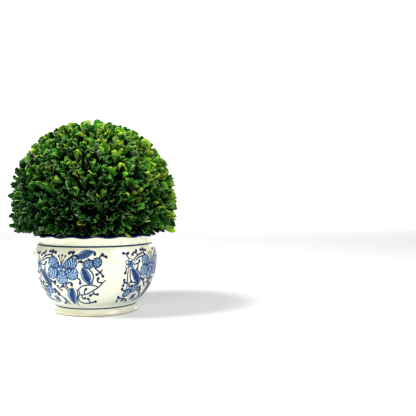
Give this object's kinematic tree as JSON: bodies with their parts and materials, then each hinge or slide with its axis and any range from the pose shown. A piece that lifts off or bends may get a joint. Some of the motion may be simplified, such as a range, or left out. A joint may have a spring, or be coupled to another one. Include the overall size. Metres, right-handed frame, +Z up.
{
  "type": "preserved box topiary dome in a glazed pot",
  "caption": "Box topiary clipped to a dome, standing in a round bellied ceramic pot with a footed base, a scalloped lip and painted blue scrollwork.",
  "frame": {"origin": "centre of the pot's foot, in the plane it stands on", "axes": "+Z up along the pot's axis; the front, with the painted medallion seen left of the middle, faces -Y"},
  "size_m": [0.2953, 0.2956, 0.3381],
  "materials": {
    "glaze": "gloss",
    "foam": "matte",
    "bark": "matte",
    "leaf": "satin"
  },
  "bodies": {
    "root": {"pot": "glaze", "pot_filling": "foam", "stem": "bark", "foliage_dome": "leaf"}
  },
  "joints": []
}
